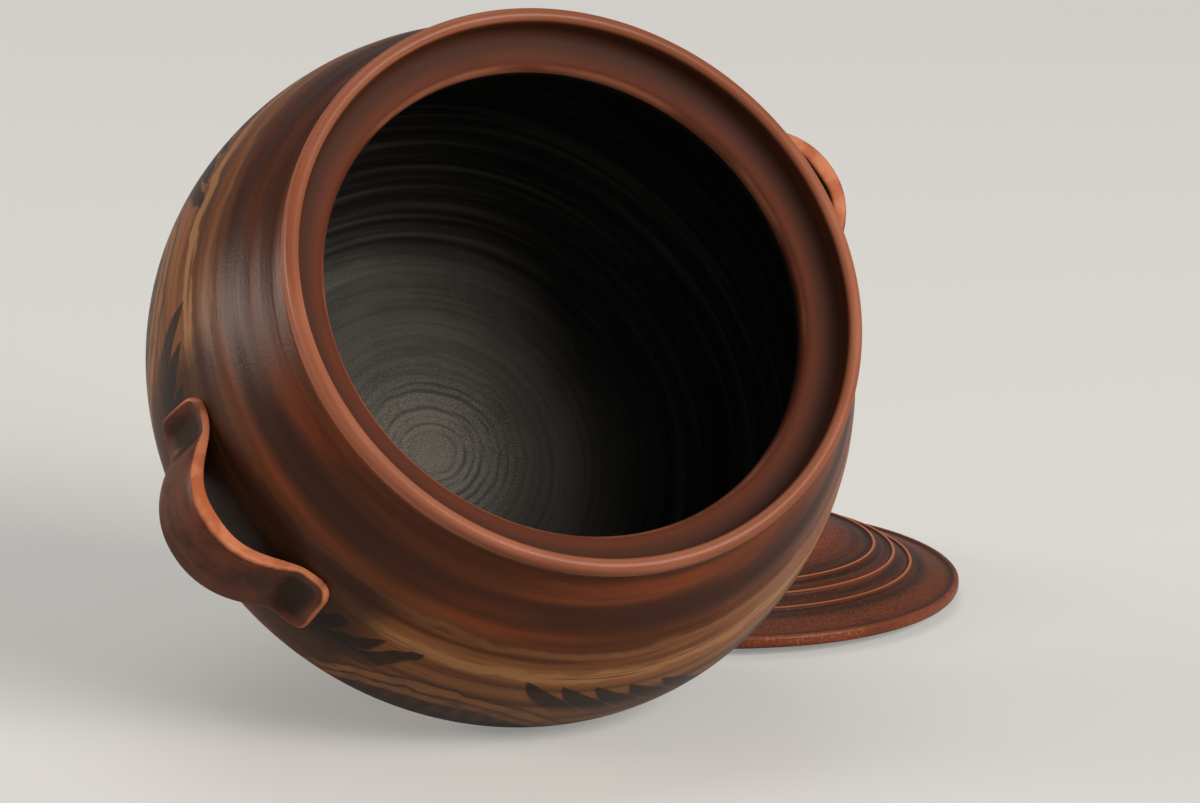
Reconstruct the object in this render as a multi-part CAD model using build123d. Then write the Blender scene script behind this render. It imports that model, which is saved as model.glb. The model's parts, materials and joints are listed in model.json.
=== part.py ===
"""A wheel-thrown clay cooking pot with two strap handles, and its ridged lid.

The pot is modelled upright on its foot and then tipped until the straight cone of its
lower wall lies flat on the table, with the mouth turned towards -Y. The lid lies flat
on the table beside the foot, on the low ring that keeps it in the mouth of the pot.
All lengths are in millimetres and all angles in degrees. Shares are parts of another
length.
"""
import os
from math import asin, cos, degrees, exp, radians, sin, sqrt, tan

from build123d import *

# Pot, measured upright: radii from its axis, depths down from the top of the lip.
LIP_RADIUS = 86.0
LIP_WIDTH = 4.6
LIP_DEPTH = 4.6
LIP_ROUND_SHARE = 0.49
NECK_GROOVE = 3.1
NECK_GROOVE_DEPTH = 9.4
NECK_ROUND_SHARE = 0.35
SHOULDER_TOP_DEPTH = 13.5
LEDGE_DEPTH = 8.2
LEDGE_FALL = 2.4
LEDGE_ROUND_SHARE = 0.5
LEDGE_WIDTH = 13.0
THROAT_THICKNESS = 6.0
THROAT_ROUND_SHARE = 0.6
THROAT_UNDERSIDE = 10.0
BELLY_SWELL = 21.1
BELLY_DEPTH = 72.0
SHOULDER_ARC_RADIUS = 96.0
BELLY_ARC_RADIUS = 56.0
POT_HEIGHT = 142.5
WALL = 6.5
FLOOR = 7.5
FOOT_EDGE_ROUND = 3.0
INNER_CORNER_ROUND = 22.0
TAPER_ANGLE = 35.0

# Handles, each a strap bowed outwards between two thumb-pressed pads.
HANDLE_TURN_ANGLE = 24.2
HANDLE_DEPTH = 57.0
HANDLE_SPAN = 72.0
STRAP_WIDTH = 24.0
STRAP_THICKNESS = 6.0
STRAP_EDGE_ROUND = 1.6
BOW_GAP = 11.4
BOW_HALF_WIDTH = 21.4
BOW_FLANK_SHARE = 0.35
PAD_THICKNESS = 4.4
PAD_SINK = 6.0
PAD_END_ROUND = 6.0
PAD_TRIM_CLEARANCE = 0.2
THUMB_RADIUS = 9.0
THUMB_LENGTH = 7.0
THUMB_DEPTH = 2.2
THUMB_PLACE = 28.6

# Lid, measured up from the table that it lies on.
LID_CLEARANCE = 2.4
LID_EDGE_THICKNESS = 4.0
LID_EDGE_ROUND = 1.9
LID_RING_DEPTH = 2.7
LID_RING_WIDTH = 4.5
LID_RING_CLEARANCE = 1.6
LID_RING_ROUND = 0.8
LID_WALL = 5.0
LID_CREASE_INSET = 1.6
LID_MIDDLE_RISE = 17.3
RIDGE_WIDTH = 1.6
RIDGE_STEP = 0.9
RIDGE_ROUND_SHARE = 0.25
RIDGE_RADIUS_SHARES = (0.805, 0.737, 0.658)
RIDGE_RISE_SHARES = (0.28, 0.455, 0.60)

# Knob, luted on the middle of the lid.
KNOB_RADIUS = 15.0
KNOB_NECK_RADIUS = 9.0
KNOB_FOOT_RADIUS = 12.0
KNOB_HEIGHT = 20.0
KNOB_HEAD_THICKNESS = 9.0
KNOB_SINK = 3.0
KNOB_ROUND = 3.0
KNOB_FOOT_ROUND = 1.0

# Where the middle of the lid lies from the middle of the pot's mouth.
LID_ASIDE = 109.9
LID_BEHIND = 144.3

# Sizes that follow from those above.
LIP_OUTER_RADIUS = LIP_RADIUS + LIP_WIDTH / 2
LIP_INNER_RADIUS = LIP_RADIUS - LIP_WIDTH / 2
THROAT_RADIUS = LIP_RADIUS - LEDGE_WIDTH
BELLY_RADIUS = LIP_RADIUS + BELLY_SWELL
LID_RADIUS = LIP_INNER_RADIUS - LID_CLEARANCE
LID_CREASE_RADIUS = LID_RADIUS - LID_CREASE_INSET
LID_CREASE_HEIGHT = LID_RING_DEPTH + LID_EDGE_THICKNESS
LID_RING_RADIUS = THROAT_RADIUS - LID_RING_CLEARANCE
SHOULDER_CENTRE = (BELLY_RADIUS - SHOULDER_ARC_RADIUS, POT_HEIGHT - BELLY_DEPTH)
BELLY_CENTRE = (BELLY_RADIUS - BELLY_ARC_RADIUS, POT_HEIGHT - BELLY_DEPTH)
TIP_ANGLE = 90.0 - TAPER_ANGLE


def around(centre, radius, angle):
    """A point on a circle of the section, at an angle up from level."""
    return (centre[0] + radius * cos(radians(angle)), centre[1] + radius * sin(radians(angle)))


def section_arc(centre, radius, start, end):
    """An arc of the section between two angles."""
    return ThreePointArc(*(around(centre, radius, a) for a in (start, (start + end) / 2, end)))


def cone_radius(height, inset):
    """Radius of the lower cone at a height, for a cone set in from the outer wall."""
    radius, top = around(BELLY_CENTRE, BELLY_ARC_RADIUS - inset, -TAPER_ANGLE)
    return radius - (top - height) * tan(radians(TAPER_ANGLE))


def shoulder_angle(radius, height):
    """Angle at which a shoulder arc of a radius reaches a height."""
    return degrees(asin((height - SHOULDER_CENTRE[1]) / radius))


def outer_wall():
    """The outer wall's lines and arcs, from the middle of the foot up to the neck."""
    neck_angle = shoulder_angle(SHOULDER_ARC_RADIUS, POT_HEIGHT - SHOULDER_TOP_DEPTH)
    cone_top = around(BELLY_CENTRE, BELLY_ARC_RADIUS, -TAPER_ANGLE)
    FilletPolyline((0, 0), (cone_radius(0, 0), 0), cone_top, radius=FOOT_EDGE_ROUND)
    section_arc(BELLY_CENTRE, BELLY_ARC_RADIUS, -TAPER_ANGLE, 0)
    section_arc(SHOULDER_CENTRE, SHOULDER_ARC_RADIUS, 0, neck_angle)
    return around(SHOULDER_CENTRE, SHOULDER_ARC_RADIUS, neck_angle)


def inner_wall():
    """The inner wall's arcs and lines, from below the throat down to the axis."""
    top_angle = shoulder_angle(SHOULDER_ARC_RADIUS - WALL, throat_bottom() - THROAT_UNDERSIDE)
    cone_top = around(BELLY_CENTRE, BELLY_ARC_RADIUS - WALL, -TAPER_ANGLE)
    section_arc(SHOULDER_CENTRE, SHOULDER_ARC_RADIUS - WALL, top_angle, 0)
    section_arc(BELLY_CENTRE, BELLY_ARC_RADIUS - WALL, 0, -TAPER_ANGLE)
    FilletPolyline(cone_top, (cone_radius(FLOOR, WALL), FLOOR), (0, FLOOR), radius=INNER_CORNER_ROUND)
    return around(SHOULDER_CENTRE, SHOULDER_ARC_RADIUS - WALL, top_angle)


def throat_bottom():
    """Height at which the throat opens out into the shoulder."""
    return POT_HEIGHT - LEDGE_DEPTH - LEDGE_FALL - THROAT_THICKNESS


def lip(neck, below_throat):
    """The neck groove, the round lip, the ledge that the lid sits on, and the throat."""
    ledge = POT_HEIGHT - LEDGE_DEPTH
    lip_round = LIP_WIDTH * LIP_ROUND_SHARE
    neck_round = NECK_GROOVE_DEPTH * NECK_ROUND_SHARE
    throat_round = THROAT_THICKNESS * THROAT_ROUND_SHARE
    FilletPolyline(
        neck,
        (LIP_OUTER_RADIUS - NECK_GROOVE, POT_HEIGHT - NECK_GROOVE_DEPTH),
        (LIP_OUTER_RADIUS, POT_HEIGHT - LIP_DEPTH),
        (LIP_OUTER_RADIUS, POT_HEIGHT),
        (LIP_INNER_RADIUS, POT_HEIGHT),
        (LIP_INNER_RADIUS, ledge),
        (THROAT_RADIUS, ledge - LEDGE_FALL),
        (THROAT_RADIUS, throat_bottom()),
        below_throat,
        radius=[neck_round, lip_round, lip_round, lip_round, LEDGE_DEPTH * LEDGE_ROUND_SHARE,
                throat_round, throat_round])


def pot_body():
    """The thrown pot, with its foot, cone, belly, shoulder and lip in one wall."""
    with BuildSketch(Plane.XZ) as section:
        with BuildLine():
            neck = outer_wall()
            below_throat = inner_wall()
            lip(neck, below_throat)
            Line((0, FLOOR), (0, 0))
        make_face()
    return revolve(section.sketch, Axis.Z)


def pot_outside():
    """The pot's outside as a block without its hollow, which the handles are trimmed to."""
    with BuildSketch(Plane.XZ) as section:
        with BuildLine():
            neck = outer_wall()
            Polyline(neck, (0, neck[1]), (0, 0))
        make_face()
    return revolve(section.sketch, Axis.Z)


def wall_at(depth):
    """Outer radius of the shoulder at a depth, and how far the wall leans out there."""
    rise = BELLY_DEPTH - depth
    radius = SHOULDER_CENTRE[0] + sqrt(SHOULDER_ARC_RADIUS ** 2 - rise ** 2)
    return radius, degrees(asin(rise / SHOULDER_ARC_RADIUS))


def strap_face_line(rise, base, half_width):
    """Points of one face of the strap, seen along the wall: a bow between two flat ends."""
    steps = 28
    reach = HANDLE_SPAN / 2 + PAD_SINK
    wall_radius = wall_at(HANDLE_DEPTH)[0]
    points = []
    for step in range(steps + 1):
        across = reach * (2 * step / steps - 1)
        bow = exp(-(across / half_width) ** 4)
        wall = sqrt(wall_radius ** 2 - across ** 2) - wall_radius
        points.append((base + wall + rise * bow, across))
    return points


def thumb_hollow():
    """What a thumb laid across the strap presses out: a rod with round ends."""
    rod = Cylinder(THUMB_RADIUS, THUMB_LENGTH)
    for end in (-THUMB_LENGTH / 2, THUMB_LENGTH / 2):
        rod += Pos(0, 0, end) * Sphere(THUMB_RADIUS)
    return rod


def handle():
    """One strap handle on the +X side, in the place that it has on the upright pot."""
    wall_radius, lean = wall_at(HANDLE_DEPTH)
    flank = STRAP_THICKNESS * BOW_FLANK_SHARE
    bow_rise = BOW_GAP + STRAP_THICKNESS - PAD_THICKNESS
    outer = strap_face_line(bow_rise, PAD_THICKNESS, BOW_HALF_WIDTH + flank)
    inner = strap_face_line(BOW_GAP + PAD_SINK, -PAD_SINK, BOW_HALF_WIDTH - flank)
    with BuildSketch() as bent:
        with BuildLine():
            Spline(*outer)
            Spline(*inner)
            Line(outer[0], inner[0])
            Line(outer[-1], inner[-1])
        make_face()
    strap = extrude(bent.sketch, STRAP_WIDTH / 2, both=True)
    sides = strap.faces().sort_by(Axis.Z)
    side_edges = sides[0].edges() + sides[-1].edges()
    strap = fillet(side_edges.filter_by(GeomType.BSPLINE), STRAP_EDGE_ROUND)
    with BuildSketch(Plane.YZ) as face_on:
        RectangleRounded(HANDLE_SPAN, STRAP_WIDTH + 2 * PAD_TRIM_CLEARANCE, PAD_END_ROUND)
    strap &= extrude(face_on.sketch, HANDLE_SPAN, both=True)
    for side in (-1, 1):
        strap -= Pos(PAD_THICKNESS + THUMB_RADIUS - THUMB_DEPTH, side * THUMB_PLACE, 0) * thumb_hollow()
    place = Pos(wall_radius, 0, POT_HEIGHT - HANDLE_DEPTH) * Rot(Y=-lean)
    return place * strap - pot_outside()


def lid_top_points():
    """Corners of the lid's top from the crease at its edge in to the innermost ridge."""
    points = [(LID_CREASE_RADIUS, LID_CREASE_HEIGHT)]
    for radius_share, rise_share in zip(RIDGE_RADIUS_SHARES, RIDGE_RISE_SHARES):
        radius = LID_RADIUS * radius_share
        crest = LID_CREASE_HEIGHT + LID_MIDDLE_RISE * rise_share
        points += [
            (radius + RIDGE_WIDTH / 2, crest - RIDGE_STEP),
            (radius + RIDGE_WIDTH / 2, crest),
            (radius - RIDGE_WIDTH / 2, crest),
            (radius - RIDGE_WIDTH, crest - RIDGE_STEP / 2),
        ]
    return points


def lid_top():
    """The top of the lid as lines and arcs, from the crease to the middle."""
    points = lid_top_points()
    FilletPolyline(*points, radius=RIDGE_WIDTH * RIDGE_ROUND_SHARE)
    middle = (0, LID_CREASE_HEIGHT + LID_MIDDLE_RISE)
    TangentArc(middle, points[-1], tangent=(1, 0))
    return points[0], middle


def lid_disc():
    """The thrown lid: rounded edge, three ridges, shallow dome and the low ring below."""
    ring_inside = LID_RING_RADIUS - LID_RING_WIDTH
    soffit = lid_underside_height(ring_inside)
    middle_soffit = (0, LID_CREASE_HEIGHT + LID_MIDDLE_RISE - LID_WALL)
    with BuildSketch(Plane.XZ) as section:
        with BuildLine():
            crease, middle = lid_top()
            FilletPolyline(
                crease,
                (LID_RADIUS, LID_CREASE_HEIGHT),
                (LID_RADIUS, LID_RING_DEPTH),
                (LID_RING_RADIUS, LID_RING_DEPTH),
                (LID_RING_RADIUS, 0),
                (ring_inside, 0),
                (ring_inside, soffit),
                radius=[LID_EDGE_ROUND / 2, LID_EDGE_ROUND, LID_RING_ROUND, LID_RING_ROUND,
                        LID_RING_ROUND])
            TangentArc(middle_soffit, (ring_inside, soffit), tangent=(1, 0))
            Line(middle_soffit, middle)
        make_face()
    return revolve(section.sketch, Axis.Z)


def lid_underside_height(radius):
    """Height of the lid's hollow underside at its ring, one wall below the top."""
    edge_rise = LID_MIDDLE_RISE * RIDGE_RISE_SHARES[0]
    run_share = (LID_CREASE_RADIUS - radius) / (LID_CREASE_RADIUS - LID_RADIUS * RIDGE_RADIUS_SHARES[0])
    return LID_CREASE_HEIGHT + edge_rise * run_share - LID_WALL


def lid_outside():
    """The lid as a block without its hollow, which the knob is trimmed to."""
    with BuildSketch(Plane.XZ) as section:
        with BuildLine():
            crease, middle = lid_top()
            Polyline(crease, (crease[0], 0), (0, 0), middle)
        make_face()
    return revolve(section.sketch, Axis.Z)


def lid_knob():
    """The turned knob, flared out from a waist and slightly domed on top."""
    foot = LID_CREASE_HEIGHT + LID_MIDDLE_RISE - KNOB_SINK
    top = foot + KNOB_SINK + KNOB_HEIGHT
    head = top - KNOB_HEAD_THICKNESS
    with BuildSketch(Plane.XZ) as section:
        with BuildLine():
            outline = FilletPolyline(
                (0, foot),
                (KNOB_FOOT_RADIUS, foot),
                (KNOB_FOOT_RADIUS, foot + KNOB_SINK),
                (KNOB_NECK_RADIUS, head - KNOB_ROUND),
                (KNOB_RADIUS, head),
                (KNOB_RADIUS, top - KNOB_ROUND),
                (0, top),
                radius=[KNOB_FOOT_ROUND, KNOB_FOOT_ROUND, KNOB_ROUND, KNOB_ROUND, KNOB_ROUND])
            Line(outline @ 0, outline @ 1)
        make_face()
    return revolve(section.sketch, Axis.Z) - lid_outside()


def arranged():
    """Every piece by name, as they lie: the pot tipped on its cone, the lid beside it."""
    tipped = Pos(0, 0, cone_radius(0, 0) * cos(radians(TAPER_ANGLE))) * Rot(X=TIP_ANGLE)
    lid_place = Pos(LID_ASIDE, LID_BEHIND - POT_HEIGHT * sin(radians(TIP_ANGLE)), 0)
    strap = handle()
    pieces = {
        "pot_body": tipped * pot_body(),
        "handle_right": tipped * Rot(Z=HANDLE_TURN_ANGLE) * strap,
        "handle_left": tipped * Rot(Z=HANDLE_TURN_ANGLE + 180) * strap,
        "lid_disc": lid_place * lid_disc(),
        "lid_knob": lid_place * lid_knob(),
    }
    boxes = [piece.bounding_box() for piece in pieces.values()]
    middle_x = (min(box.min.X for box in boxes) + max(box.max.X for box in boxes)) / 2
    middle_y = (min(box.min.Y for box in boxes) + max(box.max.Y for box in boxes)) / 2
    return {name: Pos(-middle_x, -middle_y, 0) * piece for name, piece in pieces.items()}


def main():
    """Write one file for each piece."""
    os.makedirs("parts", exist_ok=True)
    for name, piece in arranged().items():
        export_step(piece, f"parts/{name}.step")


main()
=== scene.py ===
"""A thrown clay cooking pot, tipped on its side, with its ridged lid beside it.

The pot, its two strap handles, the lid and the knob are surfaces worked out in numpy.
Each stands where the frame has it. Lengths are in metres and angles in degrees unless
a name says otherwise. Shares are parts of another length.
"""

import json

import bpy
import numpy as np
from mathutils import Matrix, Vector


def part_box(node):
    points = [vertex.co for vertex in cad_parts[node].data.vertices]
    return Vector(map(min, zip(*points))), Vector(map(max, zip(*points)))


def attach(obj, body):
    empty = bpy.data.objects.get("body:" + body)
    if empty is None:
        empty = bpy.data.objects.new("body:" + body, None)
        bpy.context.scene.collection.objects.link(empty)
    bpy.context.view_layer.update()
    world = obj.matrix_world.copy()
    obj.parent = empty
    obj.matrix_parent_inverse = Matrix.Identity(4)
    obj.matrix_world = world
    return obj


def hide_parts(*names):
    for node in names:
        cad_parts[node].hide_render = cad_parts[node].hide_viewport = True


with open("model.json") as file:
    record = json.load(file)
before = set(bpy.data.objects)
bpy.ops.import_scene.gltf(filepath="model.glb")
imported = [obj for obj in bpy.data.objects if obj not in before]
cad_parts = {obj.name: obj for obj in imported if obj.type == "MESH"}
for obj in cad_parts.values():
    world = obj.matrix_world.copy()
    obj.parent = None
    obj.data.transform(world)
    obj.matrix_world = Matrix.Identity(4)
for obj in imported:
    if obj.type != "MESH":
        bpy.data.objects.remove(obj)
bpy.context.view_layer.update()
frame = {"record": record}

# The pot, upright: radii from its axis, depths down from the top of the lip.
LIP_RADIUS = 0.086
LIP_WIDTH = 0.00458
LIP_DEPTH = 0.0046
LIP_ROUND_SHARE = 0.49
NECK_GROOVE = 0.0031
NECK_GROOVE_DEPTH = 0.0094
NECK_ROUND_SHARE = 0.35
SHOULDER_TOP_DEPTH = 0.0135
LEDGE_DEPTH = 0.0082
LEDGE_FALL = 0.0024
LEDGE_WIDTH = 0.013
LEDGE_ROUND_SHARE = 0.5
THROAT_THICKNESS = 0.006
THROAT_UNDERSIDE = 0.010
THROAT_ROUND_SHARE = 0.6
THROAT_MARGIN = 0.0002
SMOKE_TOP_RISE = 0.0035
BELLY_SWELL = 0.0211
BELLY_DEPTH = 0.072
SHOULDER_ARC_RADIUS = 0.096
BELLY_ARC_RADIUS = 0.056
POT_HEIGHT = 0.1425
WALL = 0.0065
FLOOR = 0.0075
FOOT_EDGE_ROUND = 0.003
INNER_CORNER_ROUND = 0.022
TAPER_ANGLE = 35.0

# The finger marks of the throwing, cut into the surface, and the lengths they fade over.
FLOOR_MARK_PITCH = 0.0056
FLOOR_MARK_DEPTH = 0.0003
FLOOR_MARK_REACH = 0.042
FLOOR_MARK_FADE = 0.012
FLOOR_MARK_MIDDLE_FADE = 0.004
WALL_MARK_PITCH = 0.0095
WALL_MARK_DEPTH = 0.0002
WALL_MARK_FADE = 0.010
WALL_MARK_TOP_DEPTH = 0.030
SHOULDER_MARK_PITCH = 0.0082
SHOULDER_MARK_DEPTH = 0.00022
SHOULDER_MARK_START = 0.0165
SHOULDER_MARK_START_FADE = 0.004
SHOULDER_MARK_END = 0.0545
SHOULDER_MARK_END_FADE = 0.020

# The strap handles.
HANDLE_TURN = 24.2
LEFT_HANDLE_TURN = 203.6
HANDLE_DEPTH = 0.057
HANDLE_SPAN = 0.073
STRAP_WIDTH = 0.024
STRAP_THICKNESS = 0.0062
STRAP_SIDE_POWER = 0.30
STRAP_FACE_POWER = 0.44
BOW_GAP = 0.0118
BOW_OUTER_REACH = 0.0245
BOW_OUTER_POWER = 2.1
BOW_INNER_REACH = 0.0192
BOW_INNER_POWER = 2.9
BOW_SOFTNESS = 0.012
PAD_THICKNESS = 0.0033
PAD_SINK = 0.0008
PAD_END_ROUND = 0.006
THUMB_PLACE = 0.0284
THUMB_DEPTH = 0.0027
THUMB_HALF_LENGTH = 0.0095
THUMB_HALF_WIDTH = 0.0054
THUMB_POWER = 4
WORN_BOW_REACH = 0.031
WORN_BOW_FADE = 0.008
WORN_SIDE_POWER = 9
WORN_SIDE_SHARE = 0.58
WORN_RIM_SHARE = 0.5
WORN_END_SHARE = 0.45
WORN_END_INSET = 0.0008
WORN_END_WIDTH = 0.0016

# The lid and its knob, up from the table.
LID_CLEARANCE = 0.00242
LID_EDGE_THICKNESS = 0.004
LID_EDGE_ROUND = 0.0019
LID_RING_DEPTH = 0.0027
LID_RING_WIDTH = 0.0045
LID_RING_CLEARANCE = 0.0016
LID_RING_ROUND = 0.0008
LID_WALL = 0.005
LID_CREASE_INSET = 0.0016
LID_MIDDLE_RISE = 0.0173
RIM_GROOVE_WIDTH = 0.0011
RIM_GROOVE_DEPTH = 0.0004
RIDGE_WIDTH = 0.0010
RIDGE_STEP = 0.0010
RIDGE_ROUND_SHARE = 0.25
RIDGE_RADIUS_SHARES = (0.805, 0.737, 0.658)
RIDGE_RISE_SHARES = (0.28, 0.455, 0.60)
KNOB_RADIUS = 0.015
KNOB_NECK_RADIUS = 0.009
KNOB_FOOT_RADIUS = 0.012
KNOB_HEIGHT = 0.020
KNOB_HEAD_THICKNESS = 0.009
KNOB_SINK = 0.0012
KNOB_ROUND = 0.003
KNOB_TOP_ROUND_SHARE = 0.8
KNOB_FOOT_ROUND = 0.0006

# How finely each surface is divided: rows along it, columns round it, steps in metres.
POT_COLUMNS = 192
LID_COLUMNS = 224
KNOB_COLUMNS = 96
STRAP_ROWS = 190
STRAP_COLUMNS = 64
BELLY_ROWS = 30
SHOULDER_ROWS = 50
INNER_SHOULDER_ROWS = 60
INNER_CORNER_ROWS = 24
HOLLOW_ROWS = 40
DOME_ROWS = 50
FINE_ROUND_ROWS = 12
LID_ROUND_ROWS = 6
FOOT_ROUND_ROWS = 7
FOOT_STEP = 0.004
INNER_FLOOR_STEP = 0.0008
LIP_STEP = 0.0009
LID_STEP = 0.0012

# The paint on the pot. A pair is where a fade begins and where it is done: depths below
# the lip or, in a pair called reach, lengths from the middle of a handle or an arch. A line
# or ring is its middle, its half width and its strength.
BRUSH_WANDER = 0.007
LIP_PAINT_ENDS = (0.0034, 0.0060)
LIP_PAINT_INSET = 0.0001
LIP_PAINT_SOFTNESS = 0.0007
LEDGE_PAINT_ENDS = (0.018, 0.021)
LEDGE_SHADE_START = 0.003
LEDGE_SHADE_SOFTNESS = 0.0045
WORN_THROAT_OUTSET = 0.0004
WORN_THROAT_HALF = 0.0003
WORN_THROAT_SOFTNESS = 0.0010
EDGE_SOFTNESS = 0.0004
SMOKE_RING_DEPTH = 0.0250
SMOKE_RING_HALF = 0.0022
SMOKE_RING_SOFTNESS = 0.0058
OCHRE_BEGINS = (0.030, 0.0465)
OCHRE_ENDS = (0.060, 0.112)
PALE_LINES = ((0.0370, 0.0003, 0.18), (0.0475, 0.0014, 0.75))
PALE_LINE_SOFTNESS = 0.0015
# Painted shadow of the handles on the wall: where it begins and ends down the wall, and its reach
# from a handle's middle.
HANDLE_SHADOW_BEGINS = (0.031, 0.040)
HANDLE_SHADOW_ENDS = (0.080, 0.098)
HANDLE_SHADOW_REACH = (0.045, 0.060)
ARCH_CENTRE_DEPTH = 0.1105
ARCH_ENDS = (0.095, 0.116)
ARCH_REACH = (0.0485, 0.0500)
ARCH_RINGS = ((0.0458, 0.0014, 0.85), (0.0408, 0.0010, 0.75))
ARCH_RING_SOFTNESS = 0.0012
STROKE_REACH = (0.0365, 0.0395)
STROKE_PITCH = 0.0068
STROKE_SHIFT = 0.0036

# The black leaves: lengths out from the arch's middle, and pairs of lengths down from the
# line that they hang from.
LEAF_COUNT = 5
LEAF_START = 0.0110
LEAF_PITCH = 0.0117
LEAF_LINE_DEPTH = 0.0472
LEAF_LINE_FALL_SHARE = 0.15
LEAF_LEAN_SHARE = 1.15
LEAF_WIDENS = (-0.001, 0.0080)
LEAF_WIDTH_SHARES = (0.19, 0.53)
LEAF_TOP = (-0.0016, 0.0014)
LEAF_ENDS = (0.009, 0.021)
LEAF_ARCH_REACH = (0.0480, 0.0500)

# The smoke and dust inside the pot, with painted shade and light, in the same kind of pairs: heights
# above the foot, then radii.
WALL_SOOT_AND_SHADE_BEGINS = (0.0085, 0.022)
WALL_SHADE_HEIGHTS = (0.020, 0.080)
WALL_DUST_ENDS = (0.035, 0.080)
FAINT_RINGS_END = (0.020, 0.070)
FLOOR_DUST_ENDS = (0.0085, 0.014)
DUST_AND_LIGHT_RADIUS = (0.006, 0.032)
SPECK_RADIUS = (0.008, 0.038)
RING_OUTER_RADIUS = (0.020, 0.040)
RING_INNER_RADIUS = (0.003, 0.011)
RING_PITCH = 0.0030
RING_WANDER = 0.011

# The wear on the lid, and a painted shadow along the crease inside its rim.
OUTER_ZONE_SHARES = (0.83, 0.92)
MIDDLE_ZONE_SHARE = 0.40
WORN_RING_SHARE = 0.905
WORN_RING_HALF = 0.0012
WORN_RING_SOFTNESS = 0.0042
CREASE_SHADOW_INSET = 0.0011
CREASE_SHADOW_HALF = 0.0003
CREASE_SHADOW_SOFTNESS = 0.0011
RIDGE_SHINE_SHARES = (0.20, 0.36)

# The floor, the lamps and the room. A lamp is its name, its direction from the pot, its
# distance, its width and height, its watts and its tint.
FLOOR_HALF_WIDTH = 6.0
FLOOR_GLOW = 0.31
LAMP_TARGET = (0.0, 0.0, 0.09)
LAMPS = (
    ("window", (-0.88, 0.36, 0.25), 4.4, (2.73, 1.21), 115.0, (1.0, 0.86, 0.74)),
    ("shoulder_lamp", (0.50, -0.98, 0.58), 5.4, (3.15, 2.55), 364.0, (1.0, 0.95, 0.89)),
    ("ceiling", (0.0, 0.25, 1.0), 3.6, (2.6, 2.6), 36.0, (1.0, 1.0, 1.0)),
)
ROOM_LIGHT = (0.20, 0.205, 0.21, 1.0)

# The camera: the photograph is 1200 pixels wide and taken with a long lens.
PHOTO_WIDTH_PIXELS = 1200
FOCAL_PIXELS = 5500
SENSOR_WIDTH = 36.0
CAMERA_AZIMUTH = -23.67
CAMERA_ELEVATION = 13.7
CAMERA_ROLL = 1.3
MOUTH_DISTANCE = 1.5803
MOUTH_RIGHT_PIXELS = -20.2
MOUTH_UP_PIXELS = 118.4

# Sizes that follow.
LIP_OUTER_RADIUS = LIP_RADIUS + LIP_WIDTH / 2
LIP_INNER_RADIUS = LIP_RADIUS - LIP_WIDTH / 2
THROAT_RADIUS = LIP_RADIUS - LEDGE_WIDTH
BELLY_RADIUS = LIP_RADIUS + BELLY_SWELL
BELLY_HEIGHT = POT_HEIGHT - BELLY_DEPTH
SHOULDER_CENTRE = (BELLY_RADIUS - SHOULDER_ARC_RADIUS, BELLY_HEIGHT)
BELLY_CENTRE = (BELLY_RADIUS - BELLY_ARC_RADIUS, BELLY_HEIGHT)
THROAT_BOTTOM = POT_HEIGHT - LEDGE_DEPTH - LEDGE_FALL - THROAT_THICKNESS
ARCH_TURN = HANDLE_TURN + 360 / 8
LID_RADIUS = LIP_INNER_RADIUS - LID_CLEARANCE
LID_CREASE_RADIUS = LID_RADIUS - LID_CREASE_INSET
LID_CREASE_HEIGHT = LID_RING_DEPTH + LID_EDGE_THICKNESS
LID_RING_RADIUS = THROAT_RADIUS - LID_RING_CLEARANCE


# Places taken from the frame.
def pot_place():
    """The foot's middle and the pot's three directions, from the foot's face in the record."""
    foot = next(mount for mount in frame["record"]["mounts"] if mount["name"] == "foot")
    up = -np.array(foot["axis"])
    along = np.array((1.0, 0.0, 0.0))
    return np.array(foot["pos_m"]), np.array((along, np.cross(up, along), up))


def lid_place():
    """The point of the table under the middle of the lid."""
    low, high = (np.array(corner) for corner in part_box("lid_disc"))
    middle = (low + high) / 2
    return np.array((middle[0], middle[1], low[2])), np.eye(3)


POT_ORIGIN, POT_AXES = pot_place()
LID_ORIGIN, LID_AXES = lid_place()
POT_TIP = float(np.arctan2(-POT_AXES[2][1], POT_AXES[2][2]))


# Profiles: rows of (radius, height) points.
def arc(centre, radius, start, end, count):
    """Points centre + radius (cos a, sin a), with the angle a stepped from start to end."""
    angle = np.radians(np.linspace(start, end, count))
    return np.column_stack((centre[0] + radius * np.cos(angle), centre[1] + radius * np.sin(angle)))


def rounded(points, radii, count):
    """Corners joined by straight lines, each inner corner replaced by the arc of its radius
    that touches both lines: the arc's centre lies on the corner's bisector."""
    points = np.asarray(points, float)
    rows = [points[:1]]
    for before, corner, after, radius in zip(points, points[1:], points[2:], radii):
        back = (before - corner) / np.linalg.norm(before - corner)
        ahead = (after - corner) / np.linalg.norm(after - corner)
        half = np.arccos(np.clip(back @ ahead, -1, 1)) / 2
        bisector = (back + ahead) / np.linalg.norm(back + ahead)
        centre = corner + bisector * radius / np.sin(half)
        start = corner + back * radius / np.tan(half) - centre
        end = corner + ahead * radius / np.tan(half) - centre
        sweep = np.linspace(0, 1, count)[:, None]
        turn = np.arccos(np.clip(start @ end / radius ** 2, -1, 1))
        rows.append(centre + (np.sin((1 - sweep) * turn) * start + np.sin(sweep * turn) * end)
                    / np.sin(turn))
    rows.append(points[-1:])
    return np.vstack(rows)


def lengths_along(points):
    """The length along a line from its first point to each of its points."""
    return np.concatenate(((0,), np.cumsum(np.hypot(*np.diff(points, axis=0).T))))


def spaced(points, step):
    """The same line with points a steady step apart, to the micrometre, and its own corners."""
    along = lengths_along(points)
    extra = np.arange(1, int(along[-1] / step)) * step
    wanted = np.unique(np.round(np.concatenate((along, extra)), 6))
    return np.column_stack([np.interp(wanted, along, column) for column in points.T])


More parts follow.
